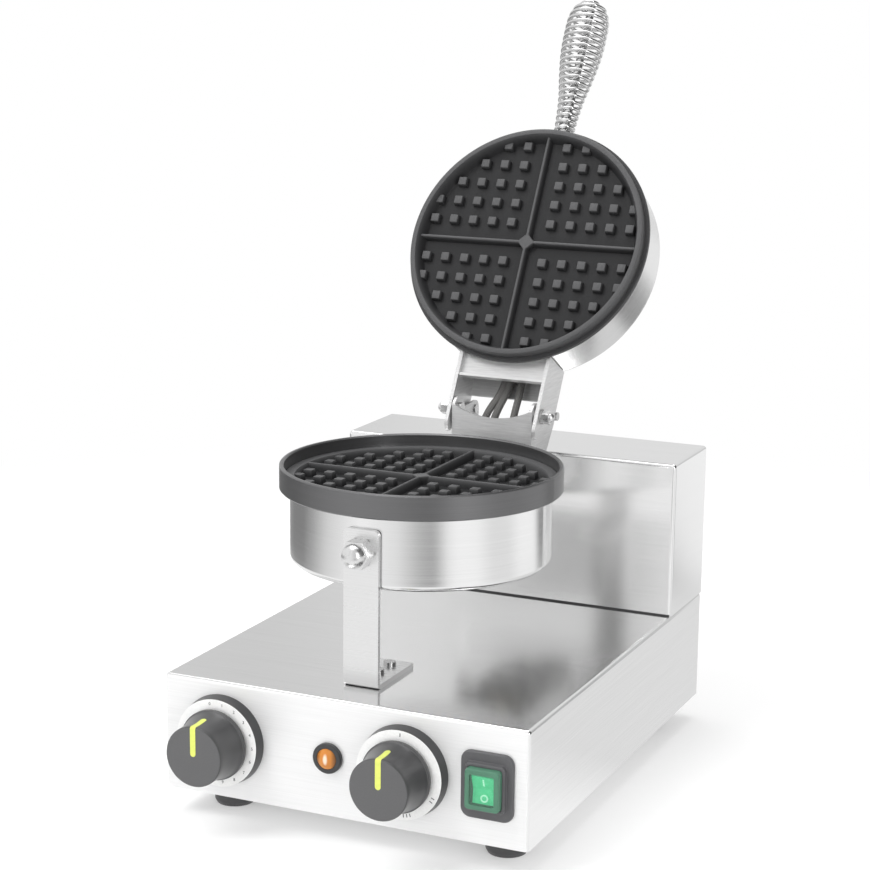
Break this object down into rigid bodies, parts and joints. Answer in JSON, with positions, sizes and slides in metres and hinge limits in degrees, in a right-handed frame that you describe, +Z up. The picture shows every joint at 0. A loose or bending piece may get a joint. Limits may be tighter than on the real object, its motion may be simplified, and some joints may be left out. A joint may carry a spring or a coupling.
{
  "type": "waffle maker",
  "caption": "Counter-top round waffle maker: folded steel base and tower, fixed lower grid plate in a drum, hinged upper plate with a coil handle, front timer, thermostat, lamp and switch.",
  "frame": {"origin": "on the ground plane under the feet, at the bottom centre of the box round the opened waffle maker", "axes": "+Z up, -Y towards the user and the controls, +X to the right of a user facing the controls"},
  "size_m": [0.25, 0.454, 0.5113],
  "materials": {
    "stainless": "brushed",
    "bright_steel": "polished",
    "grid_iron": "satin",
    "element_steel": "heat darkened",
    "black_plastic": "satin",
    "dial_aluminium": "satin",
    "rubber": "matt",
    "amber_lens": "clear tinted",
    "clear_boot": "clear",
    "green_rocker": "gloss",
    "sleeve": "woven",
    "ceramic": "glazed",
    "mineral_wool": "matt"
  },
  "bodies": {
    "base": {"base_housing": "stainless", "bottom_plate": "stainless", "bottom_plate_screws": "bright_steel", "cable_gland": "rubber", "foot_front_left": "rubber", "foot_front_right": "rubber", "foot_rear_left": "rubber", "foot_rear_right": "rubber", "foot_screws": "bright_steel", "front_strap": "stainless", "front_strap_screws": "bright_steel", "front_strap_stud": "bright_steel", "gland_nut": "rubber", "hinge_bolt_left": "bright_steel", "hinge_bolt_right": "bright_steel", "hinge_nut_left": "bright_steel", "hinge_nut_right": "bright_steel", "hinge_washers_left": "bright_steel", "hinge_washers_right": "bright_steel", "lamp_bezel": "black_plastic", "lamp_body": "black_plastic", "lamp_lens": "amber_lens", "lower_bracket_screws": "bright_steel", "lower_clamp_plate": "stainless", "lower_drum": "stainless", "lower_heating_element": "element_steel", "lower_hinge_bracket": "stainless", "lower_insulation": "mineral_wool", "lower_leads": "sleeve", "lower_plate": "grid_iron", "lower_rim": "grid_iron", "stop_pin_left": "bright_steel", "stop_pin_right": "bright_steel", "switch_bezel": "black_plastic", "switch_body": "black_plastic", "switch_boot": "clear_boot", "terminal_block": "ceramic", "thermostat_body": "black_plastic", "thermostat_dial": "dial_aluminium", "timer_body": "black_plastic", "timer_dial": "dial_aluminium", "tower_foot_screws": "bright_steel", "tower_panel_screws": "bright_steel", "tower_rear_panel": "stainless", "tower_shell": "stainless", "upper_leads": "sleeve"},
    "lid": {"handle_coil": "bright_steel", "handle_ferrule": "bright_steel", "handle_rod": "bright_steel", "upper_clamp_plate": "stainless", "upper_drum": "stainless", "upper_heating_element": "element_steel", "upper_hinge_bracket": "stainless", "upper_insulation": "mineral_wool", "upper_plate": "grid_iron"},
    "timer_knob": {"timer_knob": "black_plastic", "timer_shaft": "bright_steel"},
    "thermostat_knob": {"thermostat_knob": "black_plastic", "thermostat_shaft": "bright_steel"},
    "switch_rocker": {"switch_rocker": "green_rocker"}
  },
  "joints": [
    {"name": "lid_hinge", "type": "hinge", "parent": "base", "child": "lid", "pos_m": [0, 0.04752, 0.231], "axis": [1, 0, 0], "range_deg": [0, 120], "deforming": ["upper_leads"]},
    {"name": "timer_turn", "type": "hinge", "parent": "base", "child": "timer_knob", "pos_m": [-0.0835, -0.19048, 0.056], "axis": [0, 1, 0], "range_deg": [0, 300]},
    {"name": "thermostat_turn", "type": "hinge", "parent": "base", "child": "thermostat_knob", "pos_m": [0.043, -0.19048, 0.056], "axis": [0, 1, 0], "range_deg": [0, 270]},
    {"name": "switch_rock", "type": "hinge", "parent": "base", "child": "switch_rocker", "pos_m": [0.0985, -0.18898, 0.056], "axis": [-1, 0, 0], "range_deg": [0, 14]}
  ]
}
